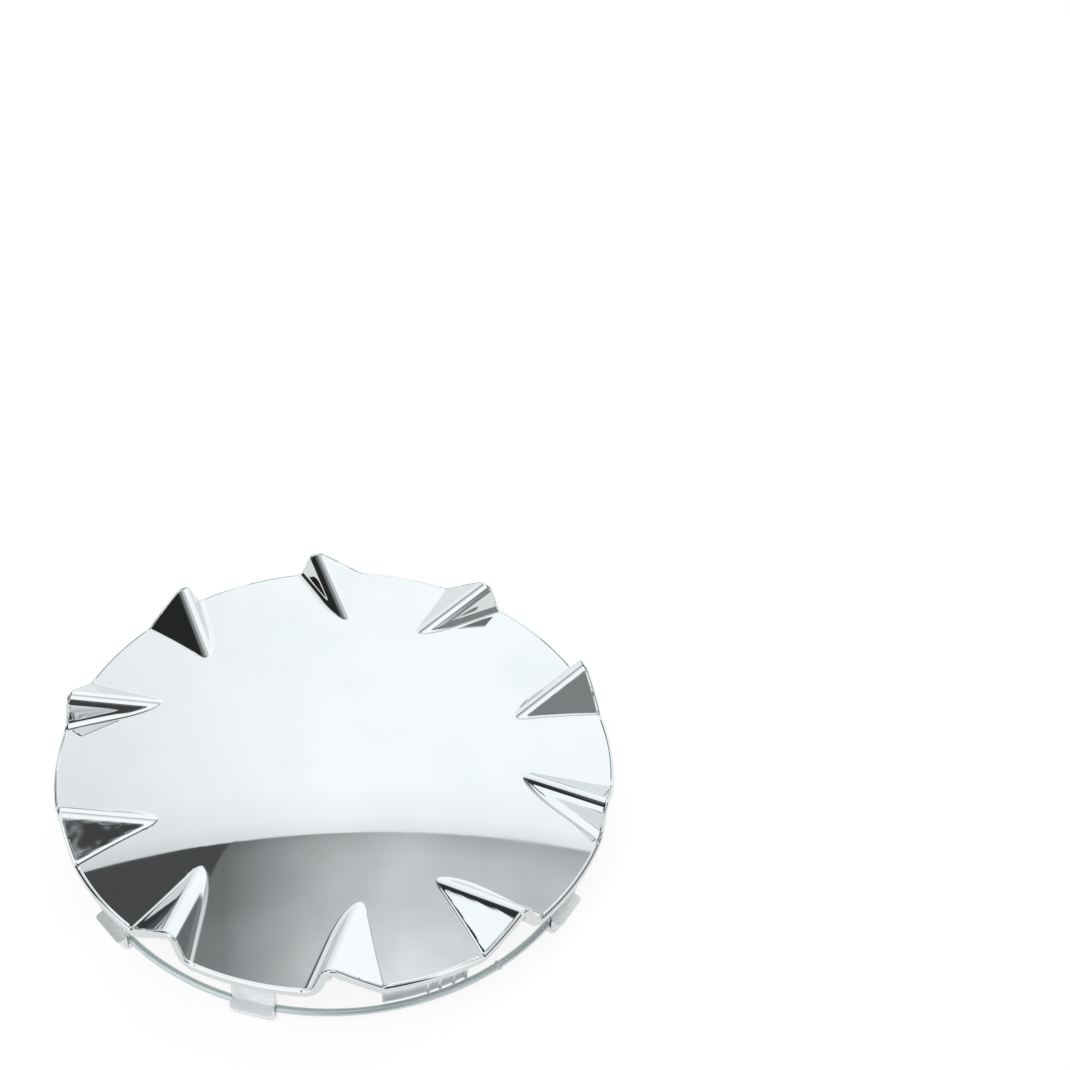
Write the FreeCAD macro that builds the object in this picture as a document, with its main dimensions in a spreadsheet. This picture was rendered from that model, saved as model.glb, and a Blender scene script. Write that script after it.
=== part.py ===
import FreeCAD, Part
import os

import Sketcher

# Wheel centre cap: one plated plastic moulding and the spring-wire ring in its snap legs.
# Millimetres. The dome's axis is Z with the shown face up, the leg feet stand on Z = 0, and the
# middle line of one pair of ridges lies along +Y.

Vector = FreeCAD.Vector

SIZES = [
    # dome and rim; the cone that trims the rim starts one lap below the wall
    ("rim_radius", 100.0),
    ("rim_height", 24.0),
    ("dome_rise", 8.1),
    ("wall", 3.0),
    ("rim_draft", 2.6),
    ("rim_lap", 1.0),
    # ridges, measured from the middle line of their pair
    ("pair_count", 5.0),
    ("ridge_offset", 27.9),
    ("ridge_length", 32.5),
    ("crest_slope", 11.2868),
    ("nose_clearance", 0.00299),
    ("hollow_round", 1.0),
    ("hollow_lead", 6.0),
    ("outer_flank", 34.0),
    ("inner_flank", 71.0),
    ("foot_round", 3.2),
    # snap legs, set in from the rim
    ("leg_inset", 5.0),
    ("leg_wall", 2.5),
    ("leg_width", 15.0),
    ("barb_reach", 4.0),
    ("barb_height", 7.0),
    ("barb_fall", 1.0),
    ("barb_taper", 2.0),
    ("barb_bevel", 1.0),
    ("barb_round", 1.5),
    # collar segments between the legs, set in from the legs' outer side
    ("collar_inset", 3.0),
    ("collar_wall", 2.5),
    ("collar_foot", 4.5),
    ("rib_wall", 1.0),
    ("rib_proud", 0.6),
    # gap in the rim edge, and the fin beside it
    ("notch_depth", 3.0),
    ("notch_skin", 0.8),
    ("fin_wall", 1.5),
    ("fin_length", 8.0),
    ("fin_foot", 10.7),
    ("gusset_wall", 1.2),
    ("gusset_width", 6.0),
    # small teeth on the hollow side of each crest, at the rim
    ("tooth_diameter", 2.4),
    ("tooth_length", 3.0),
    ("tooth_reach", 2.2),
    # spring-wire ring and its groove in the legs, set in from their outer side
    ("wire_diameter", 2.6),
    ("ring_inset", 1.06),
    ("ring_height", 4.0),
    ("groove_clearance", 0.1),
    ("bead_diameter", 3.4),
    ("bead_length", 3.0),
]

# Directions in degrees, counted anticlockwise from +Y as seen from above.
LEG_STEPS = (-4, -3, -2, -1, 1, 2, 3, 4)
COLLARS = ((180.0, 19.0), (-92.0, 13.0))
COLLAR_RIBS = (180.2, 182.9, 186.0, 188.9)
NOTCH_SPAN = (-3.0, 6.0)
FIN_DIRECTION = -8.0
BEAD_DIRECTION = -163.5

TOOTH_SIDES = 8
FULL_TURN = 360.0
# A flat face is a ridge's flank if its normal's height lies between these.
FLANK_NORMALS = (0.1, 0.99)
STANDING = "placement(vector(0; 0; 0); rotation(vector(1; 0; 0); 90))"

doc = FreeCAD.newDocument("wheel_center_cap")
sheet = doc.addObject("Spreadsheet::Sheet", "sizes")
for row, (alias, value) in enumerate(SIZES, start=1):
    sheet.set("A%d" % row, alias)
    sheet.set("B%d" % row, str(value))
    sheet.setAlias("B%d" % row, alias)
doc.recompute()

# Sizes that follow from the driving ones.
LAYOUT = [
    ("dome_radius", "(sizes.rim_radius^2 + sizes.dome_rise^2) / (2 * sizes.dome_rise)"),
    ("crest_round", "sizes.hollow_round + sizes.wall"),
    ("crest_end", "sqrt(sizes.rim_radius^2 - sizes.ridge_offset^2)"),
    ("nose_at", "layout.crest_end - sizes.ridge_length"),
    ("nose_dome", "sizes.dome_rise - layout.dome_radius"
                  " + sqrt(layout.dome_radius^2 - layout.nose_at^2 - sizes.ridge_offset^2)"),
    ("nose_dip", "asin(layout.nose_at / layout.dome_radius)"),
    ("nose_rise", "layout.crest_round * (1 - cos(sizes.outer_flank))"
                  " * cos(sizes.crest_slope + layout.nose_dip)"
                  " - layout.crest_round * sin(sizes.outer_flank)"
                  " * sizes.ridge_offset / layout.dome_radius - sizes.nose_clearance"),
    ("nose_height", "layout.nose_dome + layout.nose_rise"),
    ("crest_height", "layout.nose_height + sizes.ridge_length * tan(sizes.crest_slope)"),
    ("profile_depth", "2.5 * layout.crest_height"),
    ("overrun", "sizes.rim_radius / 8"),
    ("skin_top", "sizes.rim_height + sizes.dome_rise + layout.crest_height"),
    ("skin_floor", "sizes.rim_height / 4"),
    ("trim_foot", "sizes.rim_height - sizes.wall - sizes.rim_lap"),
    ("trim_height", "layout.skin_top - layout.trim_foot"),
    ("tooth_start", "sizes.ridge_length / cos(sizes.crest_slope)"
                    " - sizes.tooth_length - sizes.wall"),
    ("leg_radius", "sizes.rim_radius - sizes.leg_inset"),
    ("collar_radius", "layout.leg_radius - sizes.collar_inset"),
    ("ring_radius", "layout.leg_radius - sizes.ring_inset"),
    ("groove_mouth", "layout.leg_radius - 2 * sizes.leg_wall"),
    ("groove_half", "sizes.wire_diameter / 2 + sizes.groove_clearance"),
    ("bead_turn", "sizes.bead_length / layout.ring_radius * 180 / pi"),
]
layout = doc.addObject("App::VarSet", "layout")
for name, expression in LAYOUT:
    layout.addProperty("App::PropertyFloat", name)
    layout.setExpression(name, expression)
doc.recompute()


def add(kind, name, **expressions):
    """One document object whose properties are bound to expressions."""
    made = doc.addObject(kind, name)
    for path, expression in expressions.items():
        made.setExpression(path.replace("__", "."), expression)
    return made


def combine(kind, name, shapes):
    """A boolean of several objects, without the seams between faces of one surface."""
    made = doc.addObject(kind, name)
    made.Shapes = shapes
    made.Refine = True
    return made


def turned(name, links, angle):
    """The same objects again, turned about the dome's axis."""
    copy = doc.addObject("Part::Compound", name)
    copy.Links = links
    copy.setExpression("Placement", "placement(vector(0; 0; 0); rotation(vector(0; 0; 1); %s))" % angle)
    return copy


def polygon(name, placement, corners):
    """A closed sketch whose corners each stand at their own pair of expressions.

    The corners start on a curve, so that no two of them coincide before the rules move them.
    """
    sketch = doc.addObject("Sketcher::SketchObject", name)
    sketch.setExpression("Placement", placement)
    starts = [Vector(10.0 * index, 5.0 * index * index, 0) for index in range(len(corners))]
    for index, start in enumerate(starts):
        sketch.addGeometry(Part.LineSegment(start, starts[(index + 1) % len(starts)]), False)
    for index, (across, up) in enumerate(corners):
        sketch.addConstraint(
            Sketcher.Constraint("Coincident", index, 2, (index + 1) % len(corners), 1))
        for kind, expression in (("DistanceX", across), ("DistanceY", up)):
            number = sketch.addConstraint(Sketcher.Constraint(kind, -1, 1, index, 1, 1.0))
            sketch.setExpression("Constraints[%d]" % number, expression)
    return sketch


def crest_start(lead):
    """Point on the crest line, a lead further in than the shown nose."""
    return ("vector(layout.nose_at - (%s); sizes.ridge_offset; sizes.rim_height"
            " + layout.nose_height - (%s) * tan(sizes.crest_slope))" % (lead, lead))


def ridge_profile(name, inset, lead):
    """Section of a ridge square to its crest: two flanks joined by the rounded crest.

    The lines are drawn roughly in place, and the rules then bring them to size.
    """
    sketch = doc.addObject("Sketcher::SketchObject", name)
    sketch.setExpression("Placement", (
        "placement(%s; rotation(vector(0; 1; 0); -sizes.crest_slope)"
        " * rotation(vector(1; 1; 1); 120))" % crest_start(lead)))
    crest = Part.Circle(Vector(0, -4, 0), Vector(0, 0, 1), 2)
    sketch.addGeometry(Part.ArcOfCircle(crest, 1.0, 2.8), False)
    sketch.addGeometry(Part.LineSegment(Vector(1.1, -2.3, 0), Vector(20, -15, 0)), False)
    sketch.addGeometry(Part.LineSegment(Vector(20, -15, 0), Vector(-6, -15, 0)), False)
    sketch.addGeometry(Part.LineSegment(Vector(-6, -15, 0), Vector(-1.9, -3.3, 0)), False)
    arc, outer, base, inner = range(4)
    rules = [
        Sketcher.Constraint("Tangent", arc, 1, outer, 1),
        Sketcher.Constraint("Coincident", outer, 2, base, 1),
        Sketcher.Constraint("Coincident", base, 2, inner, 1),
        Sketcher.Constraint("Tangent", inner, 2, arc, 2),
        Sketcher.Constraint("Horizontal", base),
        Sketcher.Constraint("PointOnObject", arc, 3, -2),
    ]
    for rule in rules:
        sketch.addConstraint(rule)
    bound = [
        (Sketcher.Constraint("Radius", arc, 2.0), "layout.crest_round - (%s)" % inset),
        (Sketcher.Constraint("DistanceY", arc, 3, -1, 1, 4.0), "layout.crest_round"),
        (Sketcher.Constraint("DistanceY", base, 1, -1, 1, 15.0), "layout.profile_depth"),
        (Sketcher.Constraint("Angle", outer, 2, base, 1, 0.6), "sizes.outer_flank"),
        (Sketcher.Constraint("Angle", base, 2, inner, 1, 1.2), "sizes.inner_flank"),
    ]
    for rule, expression in bound:
        number = sketch.addConstraint(rule)
        sketch.setExpression("Constraints[%d]" % number, expression)
    return sketch


def is_ridge(face, crest_round):
    """True for a flank, the crest or the nose of a ridge."""
    surface = face.Surface
    if isinstance(surface, Part.Plane):
        steep, level = FLANK_NORMALS
        return steep < abs(surface.Axis.z) < level
    return getattr(surface, "Radius", 0.0) < 2 * crest_round


def foot_edges(shape, crest_round):
    """Numbers of the edges where a ridge meets the dome."""
    numbers = []
    for number, edge in enumerate(shape.Edges, start=1):
        faces = shape.ancestorsOfType(edge, Part.Face)
        domes = [face for face in faces if isinstance(face.Surface, Part.Sphere)
                 and face.Surface.Radius > 2 * crest_round]
        ridges = [face for face in faces if is_ridge(face, crest_round)]
        if domes and ridges:
            numbers.append(number)
    return numbers


def skin(name, inset, lead, floor):
    """The solid under one side of the moulded wall: the dome and its ten ridges."""
    ball = add("Part::Sphere", name + "_ball",
               Radius="layout.dome_radius - (%s)" % inset,
               Placement=("placement(vector(0; 0; sizes.rim_height + sizes.dome_rise"
                          " - layout.dome_radius); rotation(vector(1; 0; 0); 90))"))
    blank = add("Part::Cylinder", name + "_blank",
                Radius="sizes.rim_radius + layout.overrun",
                Height="layout.skin_top + %s" % floor,
                Placement__Base__z="-%s" % floor)
    dome = combine("Part::MultiCommon", name + "_dome", [ball, blank])
    profile = ridge_profile(name + "_profile", inset, lead)
    bar = add("Part::Extrusion", name + "_bar",
              LengthFwd="(sizes.ridge_length + %s + 2 * layout.overrun) / cos(sizes.crest_slope)" % lead)
    bar.Base = profile
    bar.DirMode = "Normal"
    bar.Solid = True
    nose = add("Part::Sphere", name + "_nose",
               Radius="layout.crest_round - (%s)" % inset,
               Placement=("placement(%s + rotation(vector(0; 1; 0); -sizes.crest_slope)"
                          " * vector(0; 0; -layout.crest_round); rotation(vector(0; 0; 1); 0))"
                          % crest_start(lead)))
    ridge = combine("Part::MultiFuse", name + "_ridge", [bar, nose])
    other = doc.addObject("Part::Mirroring", name + "_other_ridge")
    other.Source = ridge
    other.Normal = Vector(0, 1, 0)
    pairs = []
    pair_count = int(sheet.get("pair_count"))
    for index in range(pair_count):
        angle = "90 + %d * 360 / sizes.pair_count" % index
        pairs.append(turned("%s_pair_%d" % (name, index), [ridge, other], angle))
    return combine("Part::MultiFuse", name, [dome] + pairs)


def foot_rounds(name, sharp):
    """The same skin with the corners rounded where the ridges meet the dome."""
    doc.recompute()
    rounded = doc.addObject("Part::Fillet", name)
    rounded.Base = sharp
    radius = sheet.get("foot_round")
    rounded.Edges = [(number, radius, radius)
                     for number in foot_edges(sharp.Shape, layout.crest_round)]
    doc.recompute()
    return rounded


def rim_trim():
    """The cone that ends dome and ridges at the rim, a little narrower towards the top."""
    return add("Part::Cone", "rim_trim",
               Radius1="sizes.rim_radius",
               Radius2="sizes.rim_radius - layout.trim_height * tan(sizes.rim_draft)",
               Height="layout.trim_height",
               Placement__Base__z="layout.trim_foot")


def is_barb_corner(edge):
    """True for an upright edge at either end of a barb's outer side."""
    low, high = sorted(vertex.Z for vertex in edge.Vertexes)
    nearest = min(vertex.X for vertex in edge.Vertexes)
    return (nearest > layout.leg_radius + sheet.get("barb_bevel") / 2
            and high - low > sheet.get("barb_height") / 2)


def leg_blank():
    """One snap leg before its top is fitted under the dome: a plate with an outward barb."""
    profile = polygon("leg_profile", STANDING, [
        ("layout.leg_radius - sizes.leg_wall", "layout.skin_top"),
        ("layout.leg_radius", "layout.skin_top"),
        ("layout.leg_radius", "sizes.barb_height"),
        ("layout.leg_radius + sizes.barb_reach", "sizes.barb_height - sizes.barb_fall"),
        ("layout.leg_radius + sizes.barb_reach - sizes.barb_taper", "sizes.barb_bevel"),
        ("layout.leg_radius + sizes.barb_reach - sizes.barb_taper - sizes.barb_bevel", "0"),
        ("layout.leg_radius - sizes.leg_wall", "0"),
    ])
    leg = add("Part::Extrusion", "leg_blank", LengthFwd="sizes.leg_width")
    leg.Base = profile
    leg.DirMode = "Normal"
    leg.Symmetric = True
    leg.Solid = True
    doc.recompute()
    radius = sheet.get("barb_round")
    rounded = doc.addObject("Part::Fillet", "leg_rounded")
    rounded.Base = leg
    rounded.Edges = [(number, radius, radius) for number, edge in enumerate(leg.Shape.Edges, start=1)
                     if is_barb_corner(edge)]
    return rounded


def band(name, inner_radius, outer_radius, bottom, top, start, span):
    """Part of a round wall, from one direction through a span of degrees."""
    profile = polygon(name + "_profile", STANDING, [
        (inner_radius, bottom), (outer_radius, bottom), (outer_radius, top), (inner_radius, top)])
    swept = doc.addObject("Part::Revolution", name + "_sweep")
    swept.Source = profile
    swept.Axis = Vector(0, 0, 1)
    swept.Angle = span
    swept.Solid = True
    return turned(name, [swept], "90 + (%s)" % start)


def plate(name, inner_radius, outer_radius, thickness, foot, direction):
    """An upright plate that stands along the radius in one direction."""
    blank = add("Part::Box", name + "_blank",
                Length="(%s) - (%s)" % (outer_radius, inner_radius),
                Width=thickness,
                Height="layout.skin_top - " + foot,
                Placement=("placement(vector(%s; -%s / 2; %s); rotation(vector(0; 0; 1); 0))"
                           % (inner_radius, thickness, foot)))
    return turned(name, [blank], "90 + (%s)" % direction)


def gusset():
    """The small three-cornered plate across the fin's root."""
    profile = polygon("gusset_profile", (
        "placement(vector(layout.leg_radius - sizes.fin_length / 2; 0; 0);"
        " rotation(vector(0; 0; 1); 90) * rotation(vector(1; 0; 0); 90))"), [
            ("0", "sizes.fin_foot + sizes.fin_wall"),
            ("sizes.gusset_width / 2", "sizes.rim_height - sizes.wall"),
            ("sizes.gusset_width / 2", "layout.skin_top"),
            ("-sizes.gusset_width / 2", "layout.skin_top"),
            ("-sizes.gusset_width / 2", "sizes.rim_height - sizes.wall"),
        ])
    blank = add("Part::Extrusion", "gusset_blank", LengthFwd="sizes.gusset_wall")
    blank.Base = profile
    blank.DirMode = "Normal"
    blank.Symmetric = True
    blank.Solid = True
    return turned("gusset", [blank], "90 + (%s)" % FIN_DIRECTION)


def tooth(name, side, flank):
    """A small many-sided tooth on the hollow side of one flank, just below the crest."""
    across = ("%d * (sizes.hollow_round * sin(%s) + sizes.tooth_reach * cos(%s))"
              % (side, flank, flank))
    drop = ("layout.crest_round - sizes.hollow_round * cos(%s) + sizes.tooth_reach * sin(%s)"
            % (flank, flank))
    made = add("Part::Prism", name,
               Circumradius="sizes.tooth_diameter / 2",
               Height="sizes.tooth_length",
               Placement=("placement(%s + rotation(vector(0; 1; 0); -sizes.crest_slope)"
                          " * vector(layout.tooth_start; %s; -(%s));"
                          " rotation(vector(0; 1; 0); 90 - sizes.crest_slope))"
                          % (crest_start("0"), across, drop)))
    made.Polygon = TOOTH_SIDES
    return made


def teeth():
    """Two teeth in the hollow of every ridge, where its crest meets the rim."""
    ridge_teeth = doc.addObject("Part::Compound", "ridge_teeth")
    ridge_teeth.Links = [tooth("outer_tooth", 1, "sizes.outer_flank"),
                         tooth("inner_tooth", -1, "sizes.inner_flank")]
    other = doc.addObject("Part::Mirroring", "other_teeth")
    other.Source = ridge_teeth
    other.Normal = Vector(0, 1, 0)
    return [turned("teeth_%d" % index, [ridge_teeth, other],
                   "90 + %d * 360 / sizes.pair_count" % index)
            for index in range(int(sheet.get("pair_count")))]


def groove():
    """The round-bottomed slot in the legs' inner side, open inwards, that holds the wire."""
    bore = add("Part::Torus", "groove_bore",
               Radius1="layout.ring_radius",
               Radius2="layout.groove_half",
               Placement__Base__z="sizes.ring_height")
    mouth = band("groove_mouth", "layout.groove_mouth", "layout.ring_radius",
                 "sizes.ring_height - layout.groove_half",
                 "sizes.ring_height + layout.groove_half", 0, FULL_TURN)
    return combine("Part::MultiFuse", "groove", [bore, mouth])


def cap():
    """The whole moulding."""
    outer = foot_rounds("outer_skin", skin("outer_sharp", "0", "0", "layout.skin_floor"))
    inner = skin("inner_skin", "sizes.wall", "sizes.hollow_lead", "2 * layout.skin_floor")
    wall = doc.addObject("Part::Cut", "wall")
    wall.Base = outer
    wall.Tool = inner
    shell = combine("Part::MultiCommon", "shell", [wall, rim_trim()])

    posts = [gusset(), plate("fin", "layout.leg_radius - sizes.fin_length", "layout.leg_radius",
                             "sizes.fin_wall", "sizes.fin_foot", FIN_DIRECTION)]
    for number, direction in enumerate(COLLAR_RIBS):
        posts.append(plate("collar_rib_%d" % number, "layout.collar_radius - sizes.collar_wall / 2",
                           "layout.collar_radius + sizes.rib_proud", "sizes.rib_wall",
                           "sizes.collar_foot", direction))
    leg = leg_blank()
    for step in LEG_STEPS:
        name = "leg_at_%d" % (step % (2 * int(sheet.get("pair_count"))))
        posts.append(turned(name, [leg], "90 + %d * 180 / sizes.pair_count" % step))
    for number, (middle, span) in enumerate(COLLARS):
        posts.append(band("collar_%d" % number, "layout.collar_radius - sizes.collar_wall",
                          "layout.collar_radius", "sizes.collar_foot", "layout.skin_top",
                          middle - span / 2, span))
    under = doc.addObject("Part::Compound", "half_wall_down")
    under.Links = [outer]
    under.setExpression("Placement.Base.z", "-sizes.wall / 2")
    seated = combine("Part::MultiCommon", "seated_posts", [combine(
        "Part::MultiFuse", "posts", posts), under])

    start, end = NOTCH_SPAN
    notch = band("notch", "sizes.rim_radius - sizes.notch_depth",
                 "sizes.rim_radius + sizes.notch_depth", "sizes.barb_height",
                 "sizes.rim_height - sizes.notch_skin", start, end - start)
    cuts = combine("Part::MultiFuse", "cuts", [groove(), notch])
    whole = combine("Part::MultiFuse", "whole", [shell, seated] + teeth())
    finished = doc.addObject("Part::Cut", "cap")
    finished.Base = whole
    finished.Tool = cuts
    finished.Refine = True
    finished.Label = "cap"
    return finished


def wire(name, diameter, middle, span):
    """Round wire bent about the dome's axis, through a span of degrees about one direction."""
    section = add("Part::Ellipse", name + "_section",
                  MajorRadius=diameter + " / 2",
                  MinorRadius=diameter + " / 2",
                  Placement=("placement(vector(layout.ring_radius; 0; sizes.ring_height);"
                             " rotation(vector(1; 0; 0); 90))"))
    bent = add("Part::Revolution", name + "_bend", Angle=span)
    bent.Source = section
    bent.Axis = Vector(0, 0, 1)
    bent.Solid = True
    return turned(name, [bent], "90 + (%s) - (%s) / 2" % (middle, span))


def retaining_ring():
    """The spring-wire ring, with the thicker bead where its ends are welded."""
    ring = combine("Part::MultiFuse", "retaining_ring", [
        wire("ring_wire", "sizes.wire_diameter", BEAD_DIRECTION + FULL_TURN / 2,
             "%s - layout.bead_turn" % FULL_TURN),
        wire("bead", "sizes.bead_diameter", BEAD_DIRECTION, "layout.bead_turn")])
    ring.Label = "retaining_ring"
    return ring


pieces = [cap(), retaining_ring()]
doc.recompute()
faults = [made.Name for made in doc.Objects if {"Invalid", "Error"} & set(made.State)]
faults += [piece.Label for piece in pieces if piece.Shape.isNull() or not piece.Shape.isValid()]
if faults:
    raise RuntimeError("not built: " + ", ".join(faults))
os.makedirs("parts", exist_ok=True)
for piece in pieces:
    print(piece.Label, len(piece.Shape.Solids), "solid, volume", round(piece.Shape.Volume, 1))
    piece.Shape.exportStep(os.path.join("parts", piece.Label + ".step"))
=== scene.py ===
import math

import bmesh
import bpy
from bpy.props import FloatProperty, FloatVectorProperty, IntProperty, PointerProperty
from mathutils import Euler, Matrix, Vector


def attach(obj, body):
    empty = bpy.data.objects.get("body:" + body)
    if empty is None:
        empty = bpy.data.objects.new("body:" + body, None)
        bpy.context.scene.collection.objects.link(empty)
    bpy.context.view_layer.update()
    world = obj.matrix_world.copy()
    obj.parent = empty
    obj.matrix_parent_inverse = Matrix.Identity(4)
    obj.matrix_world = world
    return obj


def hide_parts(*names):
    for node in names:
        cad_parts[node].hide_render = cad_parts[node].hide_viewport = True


bl_info = {
    "name": "Wheel centre cap",
    "version": (1, 0, 0),
    "blender": (4, 5, 0),
    "location": "3D View > Sidebar > Wheel cap",
    "description": "Builds a chrome wheel centre cap with its wire ring, stage and camera",
    "category": "Object",
}

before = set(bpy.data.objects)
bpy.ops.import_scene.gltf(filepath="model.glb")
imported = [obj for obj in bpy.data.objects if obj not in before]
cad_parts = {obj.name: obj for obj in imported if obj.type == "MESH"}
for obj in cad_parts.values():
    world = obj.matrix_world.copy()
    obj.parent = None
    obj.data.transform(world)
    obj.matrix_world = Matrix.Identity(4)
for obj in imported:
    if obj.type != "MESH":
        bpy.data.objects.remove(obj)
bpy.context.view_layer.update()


# Sizes and colours that a user would change.

def length(name, millimetres, description):
    """A size in metres, given here in millimetres."""
    return FloatProperty(name=name, description=description, default=millimetres / 1000,
                         unit="LENGTH", precision=5)


def angle(name, degrees, description):
    """An angle in radians, given here in degrees."""
    return FloatProperty(name=name, description=description, default=math.radians(degrees),
                         unit="ROTATION")


def colour(name, value, description):
    """A colour in linear light."""
    return FloatVectorProperty(name=name, description=description, default=value, size=3,
                               subtype="COLOR", min=0.0, max=1.0)


class ShellSizes(bpy.types.PropertyGroup):
    """The domed shell with its paired ridges."""

    rim_radius: length("Rim radius", 100.0, "Radius of the rim at its widest")
    rim_height: length("Rim height", 24.0, "Height of the rim above the leg feet")
    dome_rise: length("Dome rise", 8.1, "Height of the dome above the rim")
    wall: length("Wall", 3.0, "Thickness of the moulded wall")
    rim_draft: angle("Rim draft", 2.6, "Lean of the rim face towards the axis")
    draft_foot: length("Draft foot", 20.0, "Height at which the rim face is widest")
    pair_count: IntProperty(name="Pairs", description="Pairs of ridges", default=5, min=2)
    ridge_offset: length("Ridge offset", 27.9, "From a pair's middle line to a ridge's crest")
    ridge_length: length("Ridge length", 32.5, "Plan length of a crest")
    crest_height: length("Crest height", 11.25, "Height of a crest's outer end above the rim")
    nose_rise: length("Nose rise", 0.55, "Height of a crest's inner end above the dome")
    crest_round: length("Crest round", 4.0, "Radius of a crest")
    outer_flank: angle("Outer flank", 34.0, "Slope of a ridge's outer side")
    inner_flank: angle("Inner flank", 71.0, "Slope of a ridge's inner side")
    foot_round: length("Foot round", 3.2, "Radius where a ridge meets the dome")
    edge_round: length("Edge round", 0.9, "Radius of the rim's two edges")
    notch_skin: length("Notch skin", 0.8, "Thickness left at the gap in the rim edge")
    notch_depth: length("Notch depth", 3.0, "Depth of the gap in the rim edge")


class PostSizes(bpy.types.PropertyGroup):
    """The snap legs, the collar segments with their ribs, the fin with its plate and the teeth."""

    leg_radius: length("Leg radius", 95.0, "From the axis to a leg's outer side")
    leg_wall: length("Leg wall", 2.5, "Thickness of a leg")
    leg_width: length("Leg width", 15.0, "Width of a leg")
    barb_reach: length("Barb reach", 4.0, "How far a barb stands out")
    barb_height: length("Barb height", 7.0, "Height of a barb's ledge")
    barb_fall: length("Barb fall", 1.0, "How much a barb's ledge falls towards its tip")
    barb_taper: length("Barb taper", 2.0, "How much narrower a barb is at its foot")
    barb_bevel: length("Barb bevel", 1.0, "Bevel at a barb's foot")
    barb_round: length("Barb round", 1.5, "Radius of a barb's upright corners")
    collar_radius: length("Collar radius", 92.0, "From the axis to a collar's outer side")
    collar_wall: length("Collar wall", 2.5, "Thickness of a collar segment")
    collar_foot: length("Collar foot", 4.5, "Height of a collar's lower edge")
    rib_wall: length("Rib wall", 1.0, "Thickness of a collar rib")
    rib_proud: length("Rib height", 0.6, "How far a rib stands out of its collar")
    fin_wall: length("Fin wall", 1.5, "Thickness of the fin")
    fin_length: length("Fin length", 8.0, "Radial length of the fin")
    fin_foot: length("Fin foot", 10.7, "Height of the fin's lower edge")
    gusset_wall: length("Gusset wall", 1.2, "Thickness of the plate across the fin")
    gusset_width: length("Gusset width", 6.0, "Width of the plate across the fin")
    tooth_diameter: length("Tooth diameter", 2.4, "Diameter of the teeth in the ridges")
    tooth_length: length("Tooth length", 3.0, "Length of the teeth in the ridges")
    tooth_reach: length("Tooth reach", 2.2, "From a ridge's hollow crest to a tooth")
    soft_edge: length("Soft edge", 0.35, "Round on the posts' edges")


class RingSizes(bpy.types.PropertyGroup):
    """The spring-wire ring."""

    wire_diameter: length("Wire diameter", 2.6, "Diameter of the wire")
    ring_radius: length("Ring radius", 93.94, "From the axis to the middle of the wire")
    ring_height: length("Ring height", 4.0, "Height of the middle of the wire")
    groove_clearance: length("Groove clearance", 0.1, "Gap between wire and groove")
    bead_diameter: length("Bead diameter", 3.4, "Diameter of the welded bead")
    bead_length: length("Bead length", 3.0, "Length of the welded bead")


class LookSettings(bpy.types.PropertyGroup):
    """Colours of the finishes, the floor and the room."""

    plating: colour("Plating", (0.68, 0.70, 0.705), "Chrome plating")
    plating_haze: colour("Plating haze", (0.65, 0.672, 0.68), "Chrome plating under a faint haze")
    satin: colour("Satin plating", (0.84, 0.85, 0.855), "Thinner plating on legs and collars")
    wire: colour("Wire", (0.66, 0.73, 0.74), "Spring wire")
    wire_dull: colour("Dull wire", (0.44, 0.53, 0.54), "Spring wire where its zinc has dulled")
    room_light: FloatProperty(name="Room light", description="Brightness of the lit walls",
                              default=1.4, min=0.0)
    floor: colour("Floor", (0.96, 0.96, 0.96), "Floor under the cap")
    room: colour("Room", (0.96, 0.988, 1.0), "The lit walls and ceiling that the plating mirrors")


# Directions in degrees, counted anticlockwise from +Y as seen from above. The legs' are counted
# in half pairs of ridges. A collar segment has a middle direction and a span.
LEG_STEPS = (-4, -3, -2, -1, 1, 2, 3, 4)
COLLARS = ((180.0, 19.0), (-92.0, 13.0))
COLLAR_RIBS = (180.2, 182.9, 186.0, 188.9)
NOTCH_SPAN = (-3.0, 6.0)
FIN_DIRECTION = -8.0
BEAD_DIRECTION = -163.5

# Places across a leg as shares of its width, close together at its barb's rounded corners.
LEG_SHARES = (-0.5, -0.49, -0.47, -0.44, -0.4, -0.2, 0.0, 0.2, 0.4, 0.44, 0.47, 0.49, 0.5)

# The skin's grid lines. They are drawn to long plain stretches by so many turns per metre, and
# keep their spacing from the nose inwards. Lengths from here on are in metres.
STATION_PULL = 60.0
STATION_COUNT = 20
LINES_PAST_FOOT = (0.00025, 0.0009)
LINES_TO_MIDDLE = 8
LINES_TO_SECTOR = 7
HOLD_PAST_NOSE = 0.0025

# Fineness of the searches and of the round forms.
MERGE_DISTANCE = 2e-6
TOUCH = 1e-5
LEVEL = 1e-9
SETTLE_ROUNDS = 12
HALVINGS = 34
GROOVE_STEPS = 10
COLLAR_STEPS_PER_DEGREE = 2
TOOTH_SIDES = 8
WIRE_SIDES = 24
RING_STEPS = 288
BEAD_RINGS = 14
SOFT_EDGE_STEPS = 2
SOFT_EDGE_ANGLE = 40.0

# What is left between the rim's thinned edge and the skin above it.
NOTCH_CLEARANCE = 0.0002


# Meshes.

def finish_piece(bm, name, nodes, material):
    """Turns a bmesh into a smooth object that rides on the cap and stands for its nodes."""
    mesh = bpy.data.meshes.new(name)
    bm.to_mesh(mesh)
    bm.free()
    for polygon in mesh.polygons:
        polygon.use_smooth = True
    piece = bpy.data.objects.new(name, mesh)
    bpy.context.scene.collection.objects.link(piece)
    piece.data.materials.append(material)
    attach(piece, "root")
    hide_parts(*nodes)
    return piece


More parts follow.
